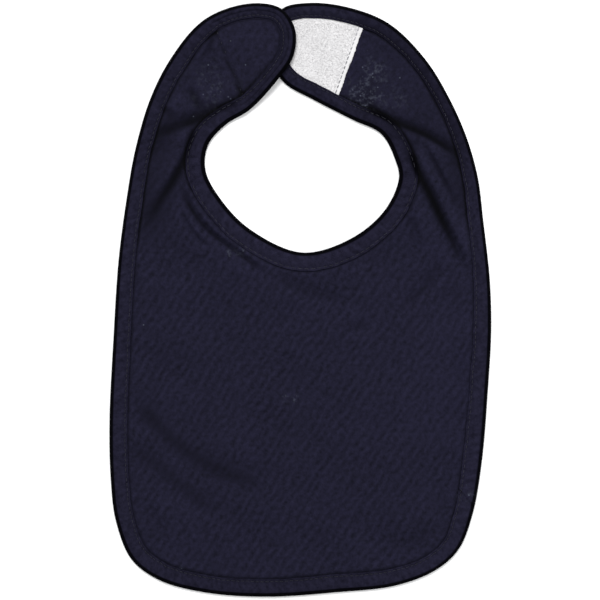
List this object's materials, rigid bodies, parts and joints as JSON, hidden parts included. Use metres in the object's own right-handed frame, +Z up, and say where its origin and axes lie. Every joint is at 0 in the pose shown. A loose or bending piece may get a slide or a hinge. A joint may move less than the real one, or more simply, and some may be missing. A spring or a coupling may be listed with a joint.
{
  "type": "infant bib",
  "caption": "Soft two-ply jersey infant bib, bound all round, with rounded strap tabs that lap behind the neck and close with a hook and loop patch.",
  "frame": {"origin": "middle of the bib's plan outline, on the surface that it lies on", "axes": "+Z up out of the bib's front, +Y from the bottom hem towards the neck fastening, +X to the right as seen from the front"},
  "size_m": [0.2194, 0.3412, 0.0108],
  "materials": {
    "jersey": "matt navy cotton jersey",
    "binding_cloth": "matt navy cotton jersey, cut as a folded binding strip",
    "navy_thread": "spun polyester sewing thread, slight sheen",
    "loop_tape": "brushed white loop tape",
    "hook_tape": "woven white hook tape with fine nylon hooks",
    "grey_thread": "grey sewing thread"
  },
  "bodies": {
    "bib_body": {"body_front_ply": "jersey", "body_back_ply": "jersey", "body_outer_binding": "binding_cloth", "body_outer_stitching": "navy_thread", "body_neck_binding": "binding_cloth", "body_neck_stitching": "navy_thread"},
    "left_strap": {"left_strap_front_ply": "jersey", "left_strap_back_ply": "jersey", "left_strap_outer_binding": "binding_cloth", "left_strap_outer_stitching": "navy_thread", "left_strap_inner_binding": "binding_cloth", "left_strap_inner_stitching": "navy_thread"},
    "left_tab": {"left_tab_front_ply": "jersey", "left_tab_back_ply": "jersey", "left_tab_binding": "binding_cloth", "left_tab_stitching": "navy_thread", "hook_patch": "hook_tape", "hook_patch_stitching": "grey_thread"},
    "right_strap": {"right_strap_front_ply": "jersey", "right_strap_back_ply": "jersey", "right_strap_binding": "binding_cloth", "right_strap_stitching": "navy_thread", "loop_patch": "loop_tape", "loop_patch_stitching": "grey_thread"}
  },
  "joints": [
    {"name": "left_strap_lift", "type": "hinge", "parent": "bib_body", "child": "left_strap", "pos_m": [-0.076, 0.07186, 0.0035], "axis": [1, 0, 0], "range_deg": [0, 45]},
    {"name": "left_tab_peel", "type": "hinge", "parent": "left_strap", "child": "left_tab", "pos_m": [-0.04793, 0.13539, 0.00828], "axis": [0.392, -0.9174, -0.069], "range_deg": [0, 60]},
    {"name": "right_strap_lift", "type": "hinge", "parent": "bib_body", "child": "right_strap", "pos_m": [0.079, 0.07186, 0.0035], "axis": [1, 0, 0], "range_deg": [0, 22.5]}
  ],
  "couplings": [
    {"joint": "right_strap_lift", "follows": "left_strap_lift", "ratio": 0.5}
  ]
}
